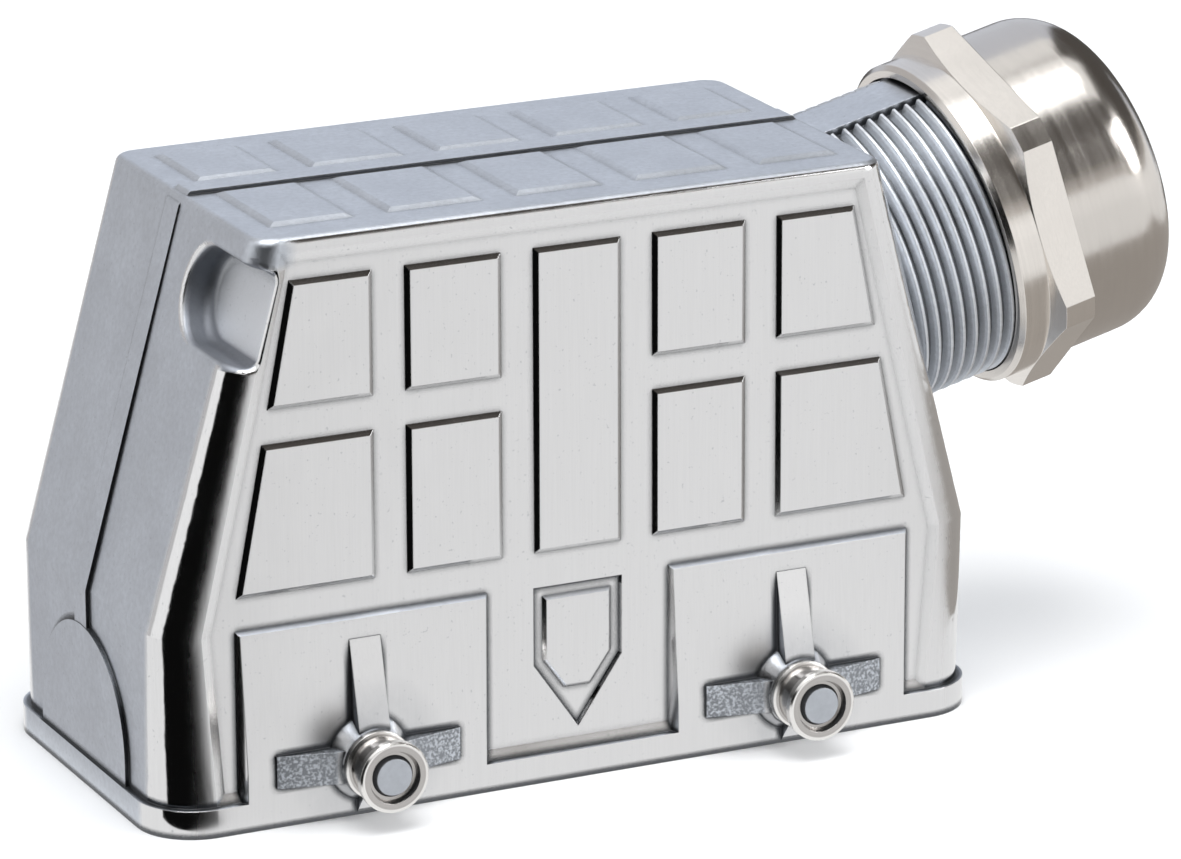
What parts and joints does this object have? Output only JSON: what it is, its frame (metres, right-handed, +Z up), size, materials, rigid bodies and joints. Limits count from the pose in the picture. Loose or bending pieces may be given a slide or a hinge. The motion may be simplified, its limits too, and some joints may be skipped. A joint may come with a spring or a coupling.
{
  "type": "heavy duty rectangular connector hood",
  "caption": "Die-cast cable hood of a rectangular power connector with locking rollers, an angled threaded outlet, a gland cap nut and a screw-terminal contact insert inside.",
  "frame": {"origin": "centre of the rim's mating face, at its height", "axes": "+X along the length towards the cable outlet, -Y the front long side, +Z up and away from the mating face"},
  "size_m": [0.1221, 0.0564, 0.0681],
  "materials": {
    "die_cast_nickel": "satin nickel-plated zinc die casting",
    "nut_nickel": "turned brass, nickel plated",
    "roller_steel": "turned steel, nickel plated",
    "screw_steel": "zinc-plated steel",
    "contact_silver": "silver-plated copper alloy",
    "carrier_plastic": "light grey moulded plastic",
    "cage_plastic": "black polyamide",
    "seal_rubber": "black elastomer"
  },
  "bodies": {
    "hood_body": {"hood": "die_cast_nickel", "contact_carrier_front": "carrier_plastic", "contact_carrier_rear": "carrier_plastic", "pin_contacts": "contact_silver", "terminal_screws": "screw_steel", "earth_plate_left": "screw_steel", "earth_plate_right": "screw_steel", "earth_clamps": "screw_steel", "earth_screws": "screw_steel", "fixing_screws": "screw_steel", "fixing_washers": "screw_steel", "clamping_cage": "cage_plastic", "sealing_sleeve": "seal_rubber", "shield_contact_ring": "contact_silver"},
    "nut_carriage": {"press_ring": "cage_plastic"},
    "gland_nut": {"gland_cap_nut": "nut_nickel"},
    "roller_front_left_body": {"roller_front_left": "roller_steel"},
    "roller_front_right_body": {"roller_front_right": "roller_steel"},
    "roller_back_left_body": {"roller_back_left": "roller_steel"},
    "roller_back_right_body": {"roller_back_right": "roller_steel"}
  },
  "joints": [
    {"name": "gland_nut_turn", "type": "hinge", "parent": "nut_carriage", "child": "gland_nut", "pos_m": [0.05958, 0, 0.04884], "axis": [0.9703, 0, 0.2419], "range_deg": [0, 2160]},
    {"name": "gland_nut_travel", "type": "slide", "parent": "hood_body", "child": "nut_carriage", "axis": [0.9703, 0, 0.2419], "range_m": [0, 0.009]},
    {"name": "roller_front_left_spin", "type": "hinge", "parent": "hood_body", "child": "roller_front_left_body", "pos_m": [-0.02407, -0.02593, 0.00595], "axis": [0, 1, 0], "continuous": true},
    {"name": "roller_front_right_spin", "type": "hinge", "parent": "hood_body", "child": "roller_front_right_body", "pos_m": [0.02407, -0.02593, 0.00595], "axis": [0, 1, 0], "continuous": true},
    {"name": "roller_back_left_spin", "type": "hinge", "parent": "hood_body", "child": "roller_back_left_body", "pos_m": [-0.02407, 0.02593, 0.00595], "axis": [0, 1, 0], "continuous": true},
    {"name": "roller_back_right_spin", "type": "hinge", "parent": "hood_body", "child": "roller_back_right_body", "pos_m": [0.02407, 0.02593, 0.00595], "axis": [0, 1, 0], "continuous": true}
  ],
  "couplings": [
    {"joint": "gland_nut_travel", "follows": "gland_nut_turn", "m_per_rad": 0.00023873}
  ]
}
